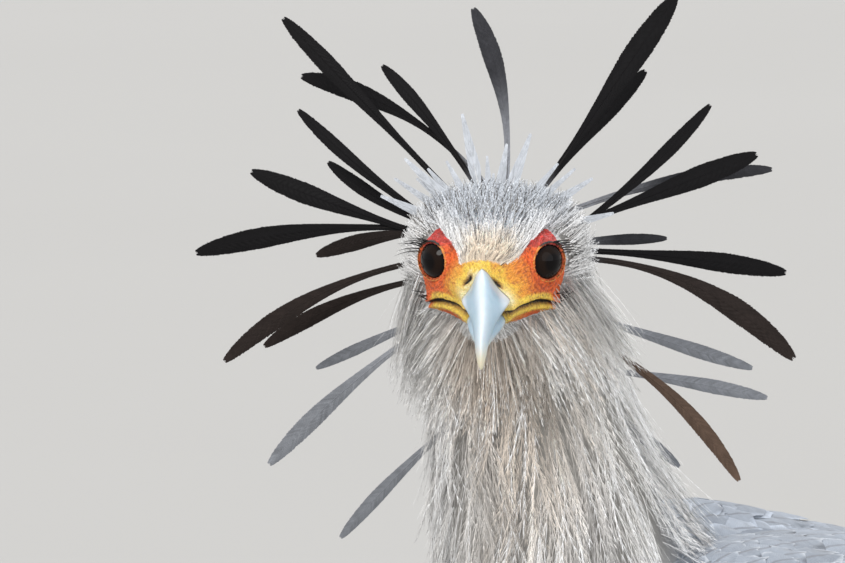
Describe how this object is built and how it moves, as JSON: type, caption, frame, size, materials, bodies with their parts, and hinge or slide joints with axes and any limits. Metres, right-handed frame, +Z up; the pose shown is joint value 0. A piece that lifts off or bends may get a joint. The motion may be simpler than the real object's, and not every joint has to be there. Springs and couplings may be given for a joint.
{
  "type": "secretary bird figure",
  "caption": "Life-size standing secretary bird, a still figure with spread crest, hooked bill, folded wings, long tail and long bare legs.",
  "frame": {"origin": "on the floor, under the middle of the whole bird's box", "axes": "-Y is the way the body points, +X is the bird's left, +Z is up"},
  "size_m": [0.2522, 0.9952, 1.0502],
  "materials": {
    "plumage": "soft feathers",
    "throat": "soft loose feathers",
    "wing": "smooth feathers",
    "tail": "smooth feathers",
    "thigh": "black feathers",
    "scute": "scaled skin",
    "claw": "worn horn",
    "horn": "smooth horn",
    "eye": "wet"
  },
  "bodies": {
    "root": {"head": "plumage", "eye_left": "eye", "eye_right": "eye", "bill_upper": "horn", "bill_lower": "horn", "neck": "throat", "torso": "plumage", "wing_left": "wing", "wing_right": "wing", "tail": "tail", "thigh_left": "thigh", "thigh_right": "thigh", "shank_left": "scute", "shank_right": "scute", "foot_left": "scute", "foot_right": "scute", "claw_left_inner": "claw", "claw_left_middle": "claw", "claw_left_outer": "claw", "claw_left_hind": "claw", "claw_right_inner": "claw", "claw_right_middle": "claw", "claw_right_outer": "claw", "claw_right_hind": "claw"}
  },
  "joints": []
}
